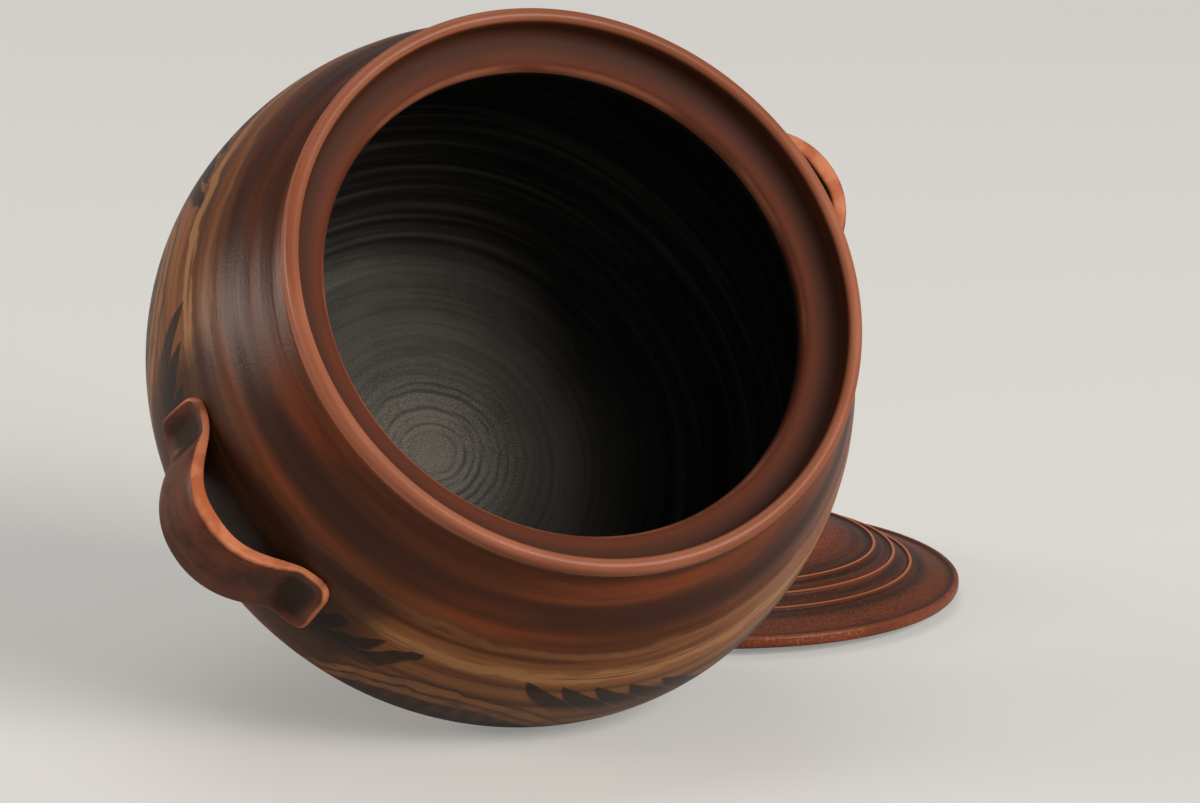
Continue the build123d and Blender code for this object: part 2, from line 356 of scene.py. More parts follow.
def normals_of(points):
    """Unit normals of a profile, a quarter turn to the right of its direction."""
    run = np.gradient(points, axis=0)
    run /= np.linalg.norm(run, axis=1, keepdims=True)
    return np.column_stack((run[:, 1], -run[:, 0]))


def ramp(value, length):
    """Nothing below zero, rising evenly to one over the length."""
    return np.clip(value / length, 0, 1)


def signed_power(value, power):
    """The power of a value's size, with the value's sign."""
    return np.sign(value) * np.abs(value) ** power


def cone_radius(height, inset):
    """Radius of the lower cone at a height, for a cone set in from the outer wall."""
    angle = np.radians(TAPER_ANGLE)
    radius = BELLY_CENTRE[0] + (BELLY_ARC_RADIUS - inset) * np.cos(angle)
    top = BELLY_CENTRE[1] - (BELLY_ARC_RADIUS - inset) * np.sin(angle)
    return radius - (top - height) * np.tan(angle)


def shoulder_angle(radius, height):
    """Angle at which a shoulder arc of a radius reaches a height."""
    return float(np.degrees(np.arcsin((height - SHOULDER_CENTRE[1]) / radius)))


def wall_radius(depth):
    """Outer radius of the shoulder and belly at a depth below the lip."""
    rise = BELLY_DEPTH - depth
    upper = SHOULDER_CENTRE[0] + np.sqrt(np.clip(SHOULDER_ARC_RADIUS ** 2 - rise ** 2, 0, None))
    lower = BELLY_CENTRE[0] + np.sqrt(np.clip(BELLY_ARC_RADIUS ** 2 - rise ** 2, 0, None))
    return np.where(rise >= 0, upper, lower)


# Meshes.
def added(name, data):
    """A new object in the scene that holds the data."""
    thing = bpy.data.objects.new(name, data)
    bpy.context.scene.collection.objects.link(thing)
    return thing


def tube_faces(rows, columns):
    """Faces of a grid that closes on itself across its columns: its quads, and at each end
    a fan to a point of its own, which stands after the grid's points."""
    row, column = np.meshgrid(np.arange(rows - 1), np.arange(columns), indexing="ij")
    after = (column + 1) % columns
    quads = np.stack((row * columns + column, row * columns + after,
                      (row + 1) * columns + after, (row + 1) * columns + column), -1)
    ring = np.arange(columns)
    beside = (ring + 1) % columns
    last_row = (rows - 1) * columns
    start = np.column_stack((np.full(columns, rows * columns), beside, ring))
    end = np.column_stack((np.full(columns, rows * columns + 1), last_row + ring, last_row + beside))
    return quads.reshape(-1, 4).tolist() + start.tolist() + end.tolist()


def mesh_piece(name, points, faces, origin, axes, materials, face_material=None):
    """A smooth mesh piece. Its points, in the piece's own upright directions, are moved to
    their place in the frame, and its object stays at the frame's origin."""
    mesh = bpy.data.meshes.new(name)
    mesh.from_pydata((origin + points @ axes).tolist(), [], faces)
    for material in materials:
        mesh.materials.append(material)
    if face_material is not None:
        mesh.polygons.foreach_set("material_index", np.asarray(face_material, np.int32))
    mesh.polygons.foreach_set("use_smooth", np.ones(len(faces), bool))
    mesh.update()
    return added(name, mesh)


def turned(name, profile, count, origin, axes, materials, split=None, shape=None):
    """A profile carried once round the upright axis: at angle a a point of radius r and
    height h stands at (r cos a, r sin a, h). The profile's two ends lie on the axis and
    become single points. Faces past the split row take the second material."""
    angle = np.arange(count) * 2 * np.pi / count
    rows = profile[1:-1]
    radius = np.repeat(rows[:, :1], count, axis=1)
    height = np.repeat(rows[:, 1:], count, axis=1)
    if shape is not None:
        radius, height = shape(radius, height, angle)
    grid = np.stack((radius * np.cos(angle), radius * np.sin(angle), height), axis=-1)
    points = np.vstack((grid.reshape(-1, 3), ((0, 0, profile[0, 1]), (0, 0, profile[-1, 1]))))
    face_material = None
    if split is not None:
        face_material = np.concatenate((np.repeat(np.arange(len(rows) - 1) >= split, count),
                                        np.zeros(count), np.ones(count)))
    faces = tube_faces(len(rows), count)
    return mesh_piece(name, points, faces, origin, axes, materials, face_material)


# Node finishes.
def shade(red, green, blue):
    """A colour given as it looks on a screen, from 0 to 255, as the shader's own numbers."""
    share = np.array((red, green, blue)) / 255
    linear = np.where(share <= 0.04045, share / 12.92, ((share + 0.055) / 1.055) ** 2.4)
    return (*linear.tolist(), 1.0)


class Finish:
    """A material in the making, with short names for the kinds of node that clay needs.
    Where a fade follows noise, its two numbers are the noise at which the paint begins and
    at which it covers. The noise lies round a half."""

    def __init__(self, name, specular, roughness=0.5):
        self.material = bpy.data.materials.new(name)
        self.material.use_nodes = True
        self.nodes = self.material.node_tree.nodes
        self.links = self.material.node_tree.links
        self.shader = self.nodes["Principled BSDF"]
        self.shader.inputs["Roughness"].default_value = roughness
        self.shader.inputs["Specular IOR Level"].default_value = specular

    def put(self, socket, value):
        """Links a socket, or sets the input's own number."""
        if isinstance(value, bpy.types.NodeSocket):
            self.links.new(value, socket)
        else:
            socket.default_value = value

    def node(self, kind, settings, inputs):
        """A node with its settings and its inputs by name or number."""
        made = self.nodes.new(kind)
        for name, value in settings.items():
            setattr(made, name, value)
        for key, value in inputs.items():
            self.put(made.inputs[key], value)
        return made

    def place(self, origin, tip):
        """Object coordinates turned into a piece's own upright directions."""
        source = self.node("ShaderNodeTexCoord", {}, {}).outputs["Object"]
        return self.node("ShaderNodeMapping", {"vector_type": "TEXTURE"},
                         {"Vector": source, "Location": tuple(origin),
                          "Rotation": (tip, 0.0, 0.0)}).outputs[0]

    def parts(self, vector):
        """The x, y and z of a vector."""
        return self.node("ShaderNodeSeparateXYZ", {}, {0: vector}).outputs[:3]

    def painted_on(self, name):
        """The numbers of a mesh's own attribute."""
        return self.node("ShaderNodeAttribute", {"attribute_name": name}, {}).outputs["Fac"]

    def math(self, operation, first, second=0.0, third=0.0):
        """One sum on numbers."""
        return self.node("ShaderNodeMath", {"operation": operation},
                         {0: first, 1: second, 2: third}).outputs[0]

    def times(self, first, *others):
        """Numbers multiplied together."""
        for other in others:
            first = self.math("MULTIPLY", first, other)
        return first

    def length(self, first, second):
        """The length of two parts at right angles: sqrt(first^2 + second^2)."""
        squares = self.math("ADD", self.times(first, first), self.times(second, second))
        return self.math("SQRT", squares)

    def noise(self, vector, scale, detail=3.0, roughness=0.55):
        """Cloudy numbers round a half."""
        return self.node("ShaderNodeTexNoise", {},
                         {"Vector": vector, "Scale": scale, "Detail": detail,
                          "Roughness": roughness}).outputs[0]

    def streaks(self, place, around, upright, detail=3.0, roughness=0.55):
        """Noise drawn out into level streaks, by its scales around the piece and up it."""
        scale = {"Vector": place, "Scale": (around, around, upright)}
        drawn = self.node("ShaderNodeMapping", {}, scale).outputs[0]
        return self.noise(drawn, 1.0, detail, roughness)

    def rings(self, x, y, radius, outward, around):
        """Noise drawn out into rings round the axis, by its scales outward and around."""
        parts = {0: self.times(radius, outward), 1: self.times(x, around), 2: self.times(y, around)}
        return self.noise(self.node("ShaderNodeCombineXYZ", {}, parts).outputs[0], 1.0)

    def swing(self, noise, size):
        """Noise as a swing to both sides of nothing, of this size from end to end."""
        return self.times(self.math("SUBTRACT", noise, 0.5), size)

    def fade(self, value, low, high, start=0.0, end=1.0):
        """A smooth step from start to end while the value goes from low to high."""
        return self.node("ShaderNodeMapRange", {"interpolation_type": "SMOOTHSTEP"},
                         {"Value": value, "From Min": low, "From Max": high,
                          "To Min": start, "To Max": end}).outputs[0]

    def fall(self, value, low, high):
        """A smooth step from one down to nothing while the value goes from low to high."""
        return self.fade(value, low, high, 1.0, 0.0)

    def band(self, value, middle, half, soft):
        """One within half of the middle value, falling softly to nothing outside it."""
        off = self.math("ABSOLUTE", self.math("SUBTRACT", value, middle))
        return self.fall(off, half, half + soft)

    def mix(self, factor, first, second):
        """Two colours, the node's inputs 6 and 7, mixed by a factor."""
        return self.node("ShaderNodeMix", {"data_type": "RGBA"},
                         {0: factor, 6: first, 7: second}).outputs[2]

    def over(self, colour, paint, *masks):
        """The colour with a paint laid over it, as strong as its masks multiplied."""
        return self.mix(self.times(*masks), colour, paint)

    def relief(self, *layers):
        """Small relief in layers, each a height, how deep it goes in metres and its strength."""
        inputs = {}
        for height, depth, strength in layers:
            inputs.update({"Height": height, "Distance": depth, "Strength": strength})
            inputs["Normal"] = self.node("ShaderNodeBump", {}, inputs).outputs[0]
        return inputs["Normal"]

    def done(self, colour, normal=None, roughness=None):
        """Joins the colour, the relief and the sheen to the shader."""
        for name, value in (("Base Color", colour), ("Normal", normal), ("Roughness", roughness)):
            if value is not None:
                self.put(self.shader.inputs[name], value)
        return self.material


DARK_CLAY = shade(50, 28, 19)
BROWN_CLAY = shade(91, 48, 27)
RED_CLAY = shade(136, 63, 32)
OCHRE_SLIP = shade(143, 95, 56)
PALE_SLIP = shade(162, 117, 76)
BLACK_SLIP = shade(30, 24, 22)
LIP_CLAY = shade(154, 94, 70)
SOOT = shade(48, 46, 42)
SOOT_DUST = shade(117, 112, 103)


def burnished_clay():
    """The outside of the pot: red and dark turning streaks on brown, an ochre band, and
    below it a ring of slip arches with leaning black leaves, on the belly."""
    clay = Finish("burnished_clay", specular=0.15)
    place = clay.place(POT_ORIGIN, POT_TIP)
    x, y, height = clay.parts(place)
    radius = clay.length(x, y)
    depth = clay.math("SUBTRACT", POT_HEIGHT, height)
    soft = clay.streaks(place, 14, 60, 4.0)
    streak = clay.streaks(place, 8, 165, 3.0, 0.5)
    fine = clay.streaks(place, 22, 700, 3.0, 0.6)
    patch = clay.streaks(place, 11, 30, 2.0)
    colour = clay.mix(clay.fade(streak, 0.20, 0.64), DARK_CLAY, BROWN_CLAY)
    colour = clay.over(colour, RED_CLAY, clay.fade(streak, 0.50, 0.76), 0.65)
    colour = clay.over(colour, RED_CLAY, clay.fade(soft, 0.52, 0.72), 0.45)
    colour = clay.over(colour, DARK_CLAY, clay.fade(fine, 0.50, 0.75), 0.28)
    smoke = clay.band(depth, SMOKE_RING_DEPTH, SMOKE_RING_HALF, SMOKE_RING_SOFTNESS)
    colour = clay.over(colour, DARK_CLAY, smoke, clay.fade(patch, 0.36, 0.58, 0.2, 1.0), 0.8)
    colour = decorate(clay, colour, place, depth, clay.math("ARCTAN2", y, x), streak, fine)
    inside_lip = clay.fall(radius, LIP_INNER_RADIUS - EDGE_SOFTNESS, LIP_INNER_RADIUS + EDGE_SOFTNESS)
    ledge = clay.times(clay.fall(depth, *LEDGE_PAINT_ENDS), inside_lip)
    colour = clay.mix(ledge, colour, ledge_paint(clay, radius, soft, fine))
    lip_start = LIP_INNER_RADIUS - LIP_PAINT_INSET
    on_lip = clay.fade(radius, lip_start, lip_start + LIP_PAINT_SOFTNESS)
    lip = clay.times(clay.fall(depth, *LIP_PAINT_ENDS), on_lip)
    colour = clay.mix(lip, colour, lip_paint(clay, streak, fine))
    grain = clay.noise(place, 900, 3.0, 0.6)
    relief = clay.relief((streak, 0.0005, 0.2), (fine, 0.0002, 0.5), (grain, 0.00012, 0.45))
    sheen = clay.math("ADD", clay.times(soft, 0.16), 0.25)
    sheen = clay.math("ADD", sheen, clay.times(ledge, 0.35))
    return clay.done(colour, relief, sheen)


def lip_paint(clay, streak, fine):
    """The lip: rubbed paler, with brown left in the fine streaks."""
    colour = clay.mix(clay.fade(streak, 0.40, 0.65), shade(124, 70, 47), LIP_CLAY)
    return clay.over(colour, BROWN_CLAY, clay.fade(fine, 0.50, 0.70), 0.3)


def ledge_paint(clay, radius, soft, fine):
    """The ledge that the lid sits on: darker outwards, partly its own tone and partly painted shade
    in the corner under the lip, with its throat edge worn pale.
    """
    # Painted shade, with the clay's own tone: the ledge darkens outwards into the corner under the
    # lip.
    dark_start = THROAT_RADIUS + LEDGE_SHADE_START
    darker = clay.fade(radius, dark_start, dark_start + LEDGE_SHADE_SOFTNESS)
    colour = clay.mix(darker, shade(82, 38, 20), shade(60, 31, 19))
    colour = clay.over(colour, DARK_CLAY, clay.fade(fine, 0.45, 0.70), 0.3)
    worn = clay.band(radius, THROAT_RADIUS + WORN_THROAT_OUTSET, WORN_THROAT_HALF,
                     WORN_THROAT_SOFTNESS)
    return clay.over(colour, LIP_CLAY, worn, clay.fade(soft, 0.42, 0.60), 0.6)


def decorate(clay, colour, place, depth, around, streak, fine):
    """The slip-work of the belly, and a painted shadow under each handle. The slip-work repeats every
    quarter turn, mirrored at each arch:
    across is the length along the wall from the nearest arch's middle, and reach is the
    distance from that arch's centre. All of it wanders a little, as brushwork does."""
    wander = clay.swing(clay.noise(place, 75, 2.0), BRUSH_WANDER)
    level = clay.math("ADD", depth, wander)
    turn = clay.math("SUBTRACT", around, np.radians(ARCH_TURN))
    folded = clay.math("WRAP", turn, np.pi / 4, -np.pi / 4)
    across = clay.math("ADD", clay.times(folded, BELLY_RADIUS), wander)
    reach = clay.length(across, clay.math("SUBTRACT", level, ARCH_CENTRE_DEPTH))
    colour = ochre_band(clay, colour, level, streak, fine)
    colour = painted_handle_shadow(clay, colour, level, around, wander)
    colour = arches(clay, colour, place, level, across, reach)
    return leaves(clay, colour, level, clay.math("ABSOLUTE", across), reach)


def ochre_band(clay, colour, level, streak, fine):
    """Ochre streaks that thicken downwards to one bright wavy line."""
    zone = clay.times(clay.fade(level, *OCHRE_BEGINS), clay.fall(level, *OCHRE_ENDS))
    ochre = clay.times(clay.fade(streak, 0.36, 0.60, 0.3, 1.0),
                       clay.fade(fine, 0.34, 0.56, 0.5, 1.0))
    colour = clay.over(colour, OCHRE_SLIP, zone, ochre, 0.8)
    for middle, half, strength in PALE_LINES:
        line = clay.band(level, middle, half, PALE_LINE_SOFTNESS)
        colour = clay.over(colour, PALE_SLIP, line, clay.fade(fine, 0.30, 0.50), strength)
    return colour


def painted_handle_shadow(clay, colour, level, around, wander):
    """Painted shadow of each handle: dark clay under and beside it, by the length along the wall from
    its middle.
    """
    turn = clay.math("SUBTRACT", around, np.radians(HANDLE_TURN))
    folded = clay.math("WRAP", turn, np.pi / 2, -np.pi / 2)
    beside = clay.math("ADD", clay.times(clay.math("ABSOLUTE", folded), BELLY_RADIUS), wander)
    return clay.over(colour, DARK_CLAY, clay.fall(beside, *HANDLE_SHADOW_REACH),
                     clay.fade(level, *HANDLE_SHADOW_BEGINS),
                     clay.fall(level, *HANDLE_SHADOW_ENDS), 0.85)


def arches(clay, colour, place, level, across, reach):
    """Arches low on the belly: rings of slip round each arch's centre on darker clay, with
    upright black strokes under them."""
    above = clay.fall(level, *ARCH_ENDS)
    colour = clay.over(colour, DARK_CLAY, clay.fall(reach, *ARCH_REACH), above, 0.7)
    thin_slip = clay.fade(clay.noise(place, 120), 0.30, 0.55, 0.35, 1.0)
    for middle, half, strength in ARCH_RINGS:
        ring = clay.band(reach, middle, half, ARCH_RING_SOFTNESS)
        colour = clay.over(colour, OCHRE_SLIP, ring, above, thin_slip, strength)
    number = clay.math("DIVIDE", clay.math("ADD", across, STROKE_SHIFT), STROKE_PITCH)
    stroke = clay.band(clay.math("FRACT", number), 0.5, 0.20, 0.18)
    return clay.over(colour, BLACK_SLIP, stroke, clay.fall(reach, *STROKE_REACH), above, 0.75)


def leaves(clay, colour, level, aside, reach):
    """Black leaves to both sides of an arch, counted by number outwards. They lean away
    from it and run together below, and each hangs a little lower than the last."""
    line = clay.math("ADD", clay.times(aside, LEAF_LINE_FALL_SHARE), LEAF_LINE_DEPTH)
    sunk = clay.math("SUBTRACT", level, line)
    leaned = clay.math("SUBTRACT", aside, clay.times(sunk, LEAF_LEAN_SHARE))
    number = clay.math("DIVIDE", clay.math("SUBTRACT", leaned, LEAF_START), LEAF_PITCH)
    within = clay.times(clay.fade(number, -0.1, 0.0),
                        clay.fall(number, LEAF_COUNT - 0.2, LEAF_COUNT))
    off = clay.math("ABSOLUTE", clay.math("SUBTRACT", clay.math("FRACT", number), 0.5))
    width = clay.times(clay.fade(sunk, *LEAF_WIDENS, *LEAF_WIDTH_SHARES),
                       clay.fade(sunk, *LEAF_TOP))
    leaf = clay.fade(clay.math("SUBTRACT", width, off), 0.0, 0.10)
    return clay.over(colour, BLACK_SLIP, leaf, clay.fall(sunk, *LEAF_ENDS), within,
                     clay.fade(reach, *LEAF_ARCH_REACH), 0.88)


def smoked_inside():
    """The inside: matt black from the smoke, with pale dust and dark turning rings on the floor and
    faint turning marks on the wall.
    Painted shade darkens the wall, most higher up, and a painted pool of light brightens the floor's
    middle."""
    clay = Finish("smoked_inside", specular=0.14, roughness=0.66)
    place = clay.place(POT_ORIGIN, POT_TIP)
    x, y, height = clay.parts(place)
    radius = clay.length(x, y)
    dust = clay.noise(place, 1900, 2.0, 0.7)
    cloud = clay.noise(place, 30)
    streak = clay.streaks(place, 8, 420, 4.0)
    marks = clay.rings(x, y, radius, 560.0, 14.0)
    colour = clay.mix(clay.fade(cloud, 0.35, 0.70), SOOT, shade(60, 58, 53))
    # Soot with painted shade: the wall darker than the floor.
    colour = clay.over(colour, shade(36, 35, 33), clay.fade(height, *WALL_SOOT_AND_SHADE_BEGINS))
    # Painted shade: the wall darker higher up, towards the throat.
    colour = clay.over(colour, shade(17, 17, 16), clay.fade(height, *WALL_SHADE_HEIGHTS), 0.75)
    dusted = clay.fade(height, *WALL_DUST_ENDS, 0.20, 0.05)
    colour = clay.over(colour, SOOT_DUST, clay.fade(streak, 0.47, 0.66), dusted)
    colour = clay.over(colour, shade(14, 13, 12), clay.fall(streak, 0.34, 0.48), 0.7)
    faint = clay.times(clay.fall(marks, 0.38, 0.52), clay.fall(height, *FAINT_RINGS_END))
    colour = clay.over(colour, shade(19, 18, 17), faint, 0.40)
    colour = floor_dust_and_light(clay, colour, radius, height, dust, cloud, streak, marks)
    return clay.done(colour, clay.relief((dust, 0.0002, 0.5), (streak, 0.0004, 0.4)))


def floor_dust_and_light(clay, colour, radius, height, dust, cloud, streak, marks):
    """Pale dust and specks in the middle of the pot's floor, the dust brightest at the middle as a
    painted pool of light, under uneven dark rings.
    """
    on_floor = clay.fall(height, *FLOOR_DUST_ENDS)
    # Dust with a painted pool of light: paler towards the floor's middle.
    dust_and_light_pool = clay.times(on_floor, clay.fade(radius, *DUST_AND_LIGHT_RADIUS, 1.0, 0.15))
    colour = clay.over(colour, shade(96, 92, 85), dust_and_light_pool, clay.fade(cloud, 0.3, 0.6, 0.65, 1.0))
    specks = clay.times(clay.fade(dust, 0.46, 0.60), clay.fade(radius, *SPECK_RADIUS, 1.0, 0.15))
    colour = clay.over(colour, SOOT_DUST, specks, on_floor, 0.8)
    wavy = clay.math("ADD", radius, clay.swing(cloud, RING_WANDER))
    wave = clay.math("SINE", clay.times(wavy, 2 * np.pi / RING_PITCH))
    uneven = clay.math("ADD", clay.times(wave, 0.50), clay.swing(marks, 3.6))
    ringed = clay.times(clay.fade(uneven, -0.3, 0.9), clay.fall(radius, *RING_OUTER_RADIUS),
                        clay.fade(radius, *RING_INNER_RADIUS, 0.2, 1.0))
    broken = clay.times(on_floor, clay.fade(streak, 0.40, 0.56, 0.35, 1.0))
    return clay.over(colour, shade(32, 31, 29), ringed, broken, 0.68)


def handle_clay():
    """The straps: dark red-brown faces with painted shade in their thumbed hollows, and bright worn
    edges.
    """
    clay = Finish("handle_clay", specular=0.15, roughness=0.42)
    place = clay.place(POT_ORIGIN, POT_TIP)
    cloud = clay.noise(place, 90, 4.0)
    speck = clay.noise(place, 900, 2.0)
    streak = clay.streaks(place, 40, 500)
    colour = clay.mix(clay.fade(cloud, 0.35, 0.68), shade(65, 37, 26), shade(99, 54, 36))
    colour = clay.over(colour, shade(121, 63, 39), clay.fade(streak, 0.50, 0.70), 0.4)
    colour = clay.over(colour, DARK_CLAY, clay.fade(speck, 0.58, 0.75), 0.4)
    # Painted shade: the thumbed hollows darkened.
    colour = clay.over(colour, shade(30, 23, 17), clay.fade(clay.painted_on("hollow"), 0.2, 0.9), 0.8)
    ragged = clay.math("ADD", clay.painted_on("worn"), clay.swing(cloud, 0.45))
    edge_colour = clay.mix(clay.fade(cloud, 0.40, 0.60), shade(164, 86, 50), shade(186, 114, 78))
    colour = clay.over(colour, edge_colour, clay.fade(ragged, 0.40, 0.80), 0.9)
    return clay.done(colour, clay.relief((cloud, 0.0005, 0.4), (speck, 0.00015, 0.5)))


def lid_clay():
    """The lid: dark turned brown between bright worn ridges, reddish in the middle, with a painted
    highlight in patches on its rim.
    """
    clay = Finish("lid_clay", specular=0.18)
    place = clay.place(LID_ORIGIN, 0.0)
    x, y, _ = clay.parts(place)
    radius = clay.length(x, y)
    cloud = clay.noise(place, 45, 4.0)
    speck = clay.noise(place, 1100, 3.0, 0.65)
    marks = clay.rings(x, y, radius, 420.0, 12.0)
    colour = clay.mix(clay.fade(marks, 0.38, 0.66), shade(44, 26, 18), shade(76, 39, 23))
    outer_low, outer_high = (LID_RADIUS * share for share in OUTER_ZONE_SHARES)
    colour = clay.over(colour, shade(90, 43, 21), clay.fade(radius, outer_low, outer_high),
                       clay.fade(cloud, 0.30, 0.65, 0.15, 0.65))
    middle = clay.fall(radius, LID_RADIUS * MIDDLE_ZONE_SHARE, LID_RADIUS * RIDGE_RADIUS_SHARES[-1])
    colour = clay.over(colour, shade(140, 64, 32), middle, clay.fade(speck, 0.40, 0.62, 0.25, 0.9))
    colour = clay.over(colour, shade(151, 82, 50), clay.fade(speck, 0.60, 0.72), 0.45)
    half, soft = (RIDGE_WIDTH * share for share in RIDGE_SHINE_SHARES)
    glossy = 0.0
    for share in RIDGE_RADIUS_SHARES:
        ridge = clay.band(radius, LID_RADIUS * share, half, soft)
        glossy = clay.math("MAXIMUM", glossy, ridge)
        colour = clay.over(colour, shade(190, 100, 57), ridge, 0.92)
    worn = clay.band(radius, LID_RADIUS * WORN_RING_SHARE, WORN_RING_HALF, WORN_RING_SOFTNESS)
    colour = clay.over(colour, shade(116, 58, 31), worn, clay.fade(speck, 0.36, 0.60), 0.5)
    # Painted shadow: a dark line along the crease inside the rim.
    shadow = LID_CREASE_RADIUS - CREASE_SHADOW_INSET
    crease = clay.band(radius, shadow, CREASE_SHADOW_HALF, CREASE_SHADOW_SOFTNESS)
    colour = clay.over(colour, DARK_CLAY, crease, 0.45)
    # The rim: its own brown, with lighter speckled patches laid on as a painted highlight of the
    # grazing light.
    rim_colour_and_highlight = clay.over(shade(108, 54, 32), shade(160, 92, 60), clay.fade(speck, 0.50, 0.72),
                           clay.fade(cloud, 0.35, 0.60))
    rim = clay.fade(radius, LID_CREASE_RADIUS - EDGE_SOFTNESS, LID_CREASE_RADIUS + EDGE_SOFTNESS)
    colour = clay.over(colour, rim_colour_and_highlight, rim, clay.fade(cloud, 0.30, 0.60, 0.55, 0.95))
    relief = clay.relief((marks, 0.0005, 0.45), (speck, 0.00018, 0.5))
    sheen = clay.math("ADD", clay.times(cloud, 0.2), 0.26)
    return clay.done(colour, relief, clay.math("SUBTRACT", sheen, clay.times(glossy, 0.20)))


def table_top():
    """A plain pale floor. It shines less light back on the clay than it shows, and glows a
    little of its own, so that it stays pale far from the lamps and still keeps a shadow."""
    paint = Finish("pale_floor", specular=0.1, roughness=0.85)
    path = paint.node("ShaderNodeLightPath", {}, {}).outputs
    shown = paint.math("MAXIMUM", path["Is Camera Ray"], path["Is Glossy Ray"])
    paint.put(paint.shader.inputs["Emission Color"], shade(224, 223, 220))
    paint.put(paint.shader.inputs["Emission Strength"],
              paint.times(path["Is Camera Ray"], FLOOR_GLOW))
    return paint.done(paint.mix(shown, shade(174, 170, 163), shade(176, 175, 172)))


# The pieces.
def pot_outside():
    """The pot's half section from the foot's middle up to the top of the shoulder."""
    neck_angle = shoulder_angle(SHOULDER_ARC_RADIUS, POT_HEIGHT - SHOULDER_TOP_DEPTH)
    belly = arc(BELLY_CENTRE, BELLY_ARC_RADIUS, -TAPER_ANGLE, 0, BELLY_ROWS)
    foot = rounded(((0, 0), (cone_radius(0, 0), 0), belly[0]), (FOOT_EDGE_ROUND,),
                   FOOT_ROUND_ROWS)
    shoulder = arc(SHOULDER_CENTRE, SHOULDER_ARC_RADIUS, 0, neck_angle, SHOULDER_ROWS)
    return np.vstack((spaced(foot, FOOT_STEP)[:-1], belly[:-1], shoulder))


def pot_inside():
    """The pot's half section from below the throat down to the floor's middle."""
    radius = SHOULDER_ARC_RADIUS - WALL
    angle = shoulder_angle(radius, THROAT_BOTTOM - THROAT_UNDERSIDE)
    shoulder = arc(SHOULDER_CENTRE, radius, angle, 0, INNER_SHOULDER_ROWS)
    belly = arc(BELLY_CENTRE, BELLY_ARC_RADIUS - WALL, 0, -TAPER_ANGLE, BELLY_ROWS)
    floor = rounded((belly[-1], (cone_radius(FLOOR, WALL), FLOOR), (0, FLOOR)),
                    (INNER_CORNER_ROUND,), INNER_CORNER_ROWS)
    return np.vstack((shoulder[:-1], belly[:-1], spaced(floor, INNER_FLOOR_STEP)))


def pot_lip(start, end):
    """The lip, the ledge inside it and the throat, from the shoulder's top to the inside."""
    ledge = POT_HEIGHT - LEDGE_DEPTH
    lip_round = LIP_WIDTH * LIP_ROUND_SHARE
    throat_round = THROAT_THICKNESS * THROAT_ROUND_SHARE
    return rounded(
        (start,
         (LIP_OUTER_RADIUS - NECK_GROOVE, POT_HEIGHT - NECK_GROOVE_DEPTH),
         (LIP_OUTER_RADIUS, POT_HEIGHT - LIP_DEPTH),
         (LIP_OUTER_RADIUS, POT_HEIGHT),
         (LIP_INNER_RADIUS, POT_HEIGHT),
         (LIP_INNER_RADIUS, ledge),
         (THROAT_RADIUS, ledge - LEDGE_FALL),
         (THROAT_RADIUS, THROAT_BOTTOM),
         end),
        (NECK_GROOVE_DEPTH * NECK_ROUND_SHARE, lip_round, lip_round, lip_round,
         LEDGE_DEPTH * LEDGE_ROUND_SHARE, throat_round, throat_round), FINE_ROUND_ROWS)


def pot_profile():
    """The pot's half section from the foot's middle, up the outside, over the lip and down
    the inside to the floor's middle, and the row where the smoked inside begins: the first
    past the lip that is in the throat and near its bottom."""
    outer, inner = pot_outside(), pot_inside()
    lip = spaced(pot_lip(outer[-1], inner[0]), LIP_STEP)
    profile = np.vstack((outer[:-1], lip[:-1], inner))
    in_throat = ((np.arange(len(profile)) >= len(outer))
                 & (profile[:, 0] < THROAT_RADIUS + THROAT_MARGIN)
                 & (profile[:, 1] < THROAT_BOTTOM + SMOKE_TOP_RISE))
    return profile, int(np.argmax(in_throat))


def thrown(profile, split):
    """Throwing marks pressed into the wall: height and radius move along the profile's
    normal by depth (1 + cos(2 pi (s - p a / 2 pi) / p)) / 2, a groove that climbs one
    pitch p in each turn of the angle a, with s the length along the profile."""
    along = lengths_along(profile)
    normal = normals_of(profile)[1:-1]
    from_end = (along[-1] - along)[1:-1]
    depth = POT_HEIGHT - profile[1:-1, 1]
    inside = np.arange(len(depth)) > split
    floor_share = (ramp(FLOOR_MARK_REACH - from_end, FLOOR_MARK_FADE)
                   * ramp(from_end, FLOOR_MARK_MIDDLE_FADE))
    wall_share = (inside * (depth > WALL_MARK_TOP_DEPTH)
                  * ramp(from_end - FLOOR_MARK_REACH, WALL_MARK_FADE))
    shoulder_share = (~inside * ramp(depth - SHOULDER_MARK_START, SHOULDER_MARK_START_FADE)
                      * ramp(SHOULDER_MARK_END - depth, SHOULDER_MARK_END_FADE))
    marks = ((floor_share, from_end, FLOOR_MARK_PITCH, FLOOR_MARK_DEPTH),
             (wall_share, from_end, WALL_MARK_PITCH, WALL_MARK_DEPTH),
             (shoulder_share, depth, SHOULDER_MARK_PITCH, SHOULDER_MARK_DEPTH))

    def shape(radius, height, angle):
        press = np.zeros_like(radius)
        for share, length, pitch, deep in marks:
            phase = length[:, None] / pitch - angle / (2 * np.pi)
            press += share[:, None] * deep * (1 + np.cos(2 * np.pi * phase)) / 2
        return radius - press * normal[:, :1], height - press * normal[:, 1:]

    return shape


def pot_body():
    """The thrown pot."""
    profile, split = pot_profile()
    piece = turned("thrown_pot", profile, POT_COLUMNS, POT_ORIGIN, POT_AXES,
                   (burnished_clay(), smoked_inside()), split, thrown(profile, split))
    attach(piece, "pot")
    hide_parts("pot_body")


